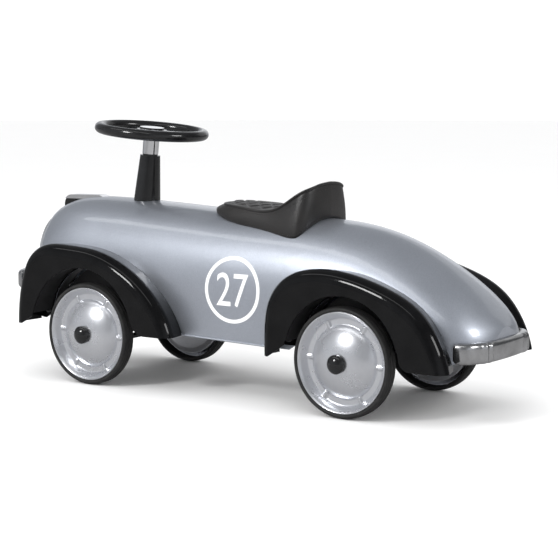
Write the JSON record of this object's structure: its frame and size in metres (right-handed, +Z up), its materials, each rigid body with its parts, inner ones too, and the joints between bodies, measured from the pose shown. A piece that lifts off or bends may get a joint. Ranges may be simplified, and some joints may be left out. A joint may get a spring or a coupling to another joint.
{
  "type": "ride-on push car",
  "caption": "Child's ride-on car with a pressed metal body, separate fenders, padded saddle, working steering wheel and tie rod, bumpers and free-rolling wheels.",
  "frame": {"origin": "on the ground, on the centre plane, midway between the bumpers", "axes": "+X towards the nose, +Y to the driver's left, +Z up; the tyres stand on Z = 0"},
  "size_m": [0.7625, 0.2776, 0.3592],
  "materials": {
    "body_paint": "gloss",
    "fender_paint": "gloss",
    "zinc_steel": "satin",
    "chrome": "polished",
    "brushed_metal": "brushed",
    "wheel_metal": "satin",
    "black_plastic": "gloss",
    "black_steel": "satin",
    "nylon": "matt",
    "saddle_leather": "satin",
    "tyre_rubber": "matt"
  },
  "bodies": {
    "chassis": {"axle_cap_rear_left": "black_plastic", "axle_cap_rear_right": "black_plastic", "beam_bolts": "zinc_steel", "beam_spacers": "black_steel", "body_shell": "body_paint", "bumper_brackets": "black_steel", "chassis_pan": "black_steel", "column_sleeve": "black_plastic", "crest_pad": "black_plastic", "fender_screws": "zinc_steel", "front_axle_beam": "black_steel", "front_bumper": "brushed_metal", "front_fender_left": "fender_paint", "front_fender_right": "fender_paint", "grille_bars": "black_plastic", "grille_frame": "chrome", "hood_crest": "chrome", "kingpin_left": "zinc_steel", "kingpin_right": "zinc_steel", "lower_bush": "nylon", "rear_axle": "zinc_steel", "rear_axle_brackets": "black_steel", "rear_axle_spacers": "black_steel", "rear_bumper": "brushed_metal", "rear_fender_left": "fender_paint", "rear_fender_right": "fender_paint", "seat_base": "black_plastic", "seat_bolts": "zinc_steel", "seat_cushion": "saddle_leather", "upper_bush": "nylon", "wheel_wells": "black_steel"},
    "steering": {"steering_column": "black_steel", "column_collar": "chrome", "steering_rim": "black_plastic", "steering_spokes": "brushed_metal", "steering_hub_cap": "chrome", "pitman_arm": "black_steel"},
    "tie": {"tie_rod": "black_steel"},
    "knuckle_l": {"knuckle_left": "zinc_steel", "axle_cap_front_left": "black_plastic"},
    "knuckle_r": {"knuckle_right": "zinc_steel", "axle_cap_front_right": "black_plastic"},
    "wheel_front_left": {"tyre_front_left": "tyre_rubber", "disc_outer_front_left": "wheel_metal", "disc_inner_front_left": "wheel_metal", "hub_bush_front_left": "nylon"},
    "wheel_front_right": {"tyre_front_right": "tyre_rubber", "disc_outer_front_right": "wheel_metal", "disc_inner_front_right": "wheel_metal", "hub_bush_front_right": "nylon"},
    "wheel_rear_left": {"tyre_rear_left": "tyre_rubber", "disc_outer_rear_left": "wheel_metal", "disc_inner_rear_left": "wheel_metal", "hub_bush_rear_left": "nylon"},
    "wheel_rear_right": {"tyre_rear_right": "tyre_rubber", "disc_outer_rear_right": "wheel_metal", "disc_inner_rear_right": "wheel_metal", "hub_bush_rear_right": "nylon"}
  },
  "joints": [
    {"name": "steering_turn", "type": "hinge", "parent": "chassis", "child": "steering", "pos_m": [0.2096, 0, 0.07], "axis": [-0.0988, 0, 0.9951], "range_deg": [-17, 17]},
    {"name": "knuckle_left_turn", "type": "hinge", "parent": "chassis", "child": "knuckle_l", "pos_m": [0.2033, 0.084, 0.07], "axis": [-0.0988, 0, 0.9951], "range_deg": [-17, 17]},
    {"name": "knuckle_right_turn", "type": "hinge", "parent": "chassis", "child": "knuckle_r", "pos_m": [0.2033, -0.084, 0.07], "axis": [-0.0988, 0, 0.9951], "range_deg": [-17, 17]},
    {"name": "tie_rod_pivot", "type": "hinge", "parent": "knuckle_l", "child": "tie", "pos_m": [0.17146, 0.084, 0.06684], "axis": [-0.0988, 0, 0.9951], "range_deg": [-17, 17]},
    {"name": "wheel_front_left_spin", "type": "hinge", "parent": "knuckle_l", "child": "wheel_front_left", "pos_m": [0.2033, 0.111, 0.07], "axis": [0, 1, 0], "continuous": true},
    {"name": "wheel_front_right_spin", "type": "hinge", "parent": "knuckle_r", "child": "wheel_front_right", "pos_m": [0.2033, -0.111, 0.07], "axis": [0, 1, 0], "continuous": true},
    {"name": "wheel_rear_left_spin", "type": "hinge", "parent": "chassis", "child": "wheel_rear_left", "pos_m": [-0.2082, 0.111, 0.07], "axis": [0, 1, 0], "continuous": true},
    {"name": "wheel_rear_right_spin", "type": "hinge", "parent": "chassis", "child": "wheel_rear_right", "pos_m": [-0.2082, -0.111, 0.07], "axis": [0, 1, 0], "continuous": true}
  ],
  "couplings": [
    {"joint": "knuckle_left_turn", "follows": "steering_turn", "ratio": 1},
    {"joint": "knuckle_right_turn", "follows": "steering_turn", "ratio": 1},
    {"joint": "tie_rod_pivot", "follows": "steering_turn", "ratio": -1}
  ]
}
